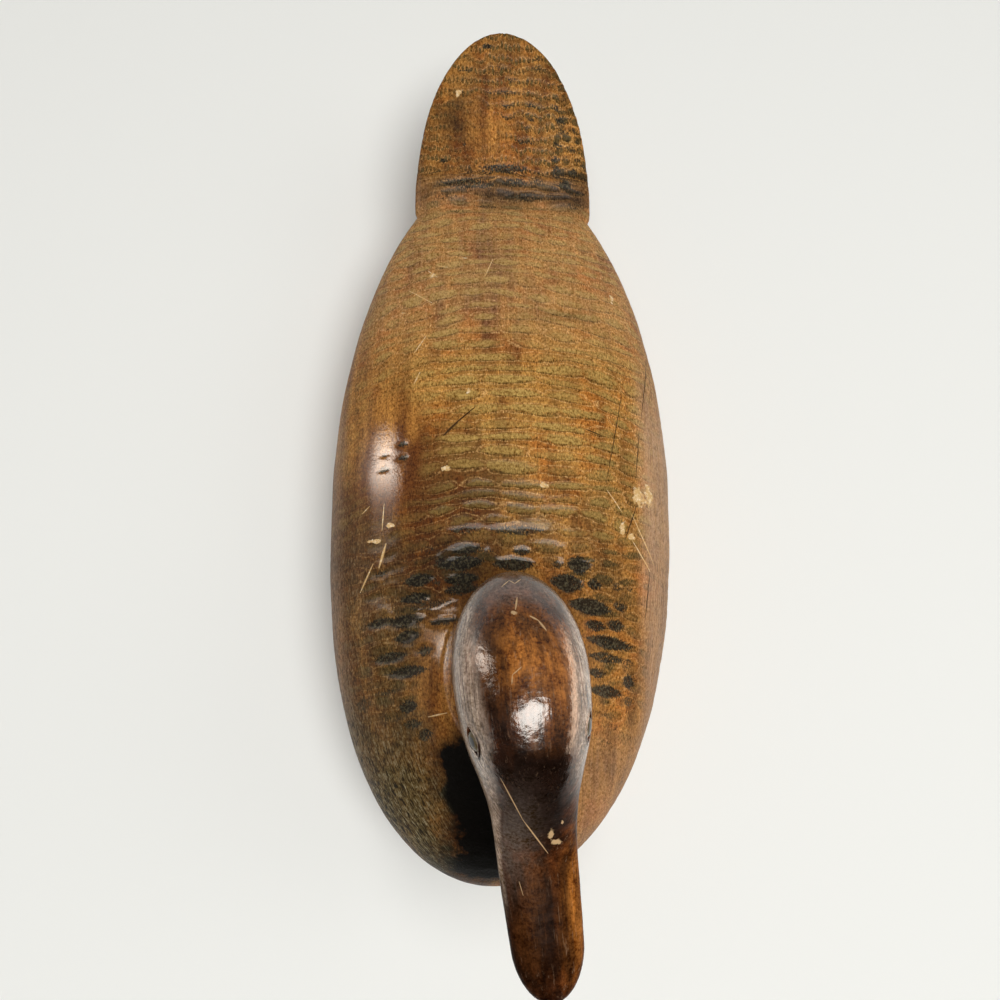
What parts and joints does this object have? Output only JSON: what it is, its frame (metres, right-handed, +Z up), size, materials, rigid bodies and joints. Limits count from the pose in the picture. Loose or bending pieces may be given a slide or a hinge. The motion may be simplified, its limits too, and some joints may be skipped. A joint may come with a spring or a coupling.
{
  "type": "carved wooden duck decoy",
  "caption": "Carved wooden duck decoy: flat-bottomed gouge-textured body with an upswept paddle tail, a smooth dark head turned slightly to its left, and small glass eyes.",
  "frame": {"origin": "on the surface the decoy stands on, midway between the tips of the bill and the tail", "axes": "+Z up, -Y towards the bill, +Y towards the tail, +X the decoy's left-hand side"},
  "size_m": [0.1446, 0.38, 0.152],
  "materials": {
    "body_wood": "satin varnish over gouge-cut wood stained golden brown, worn",
    "head_wood": "glossy dark brown varnish, smooth",
    "eye_glass": "dark polished glass"
  },
  "bodies": {
    "root": {"body": "body_wood", "head": "head_wood", "eye_left": "eye_glass", "eye_right": "eye_glass"}
  },
  "joints": []
}
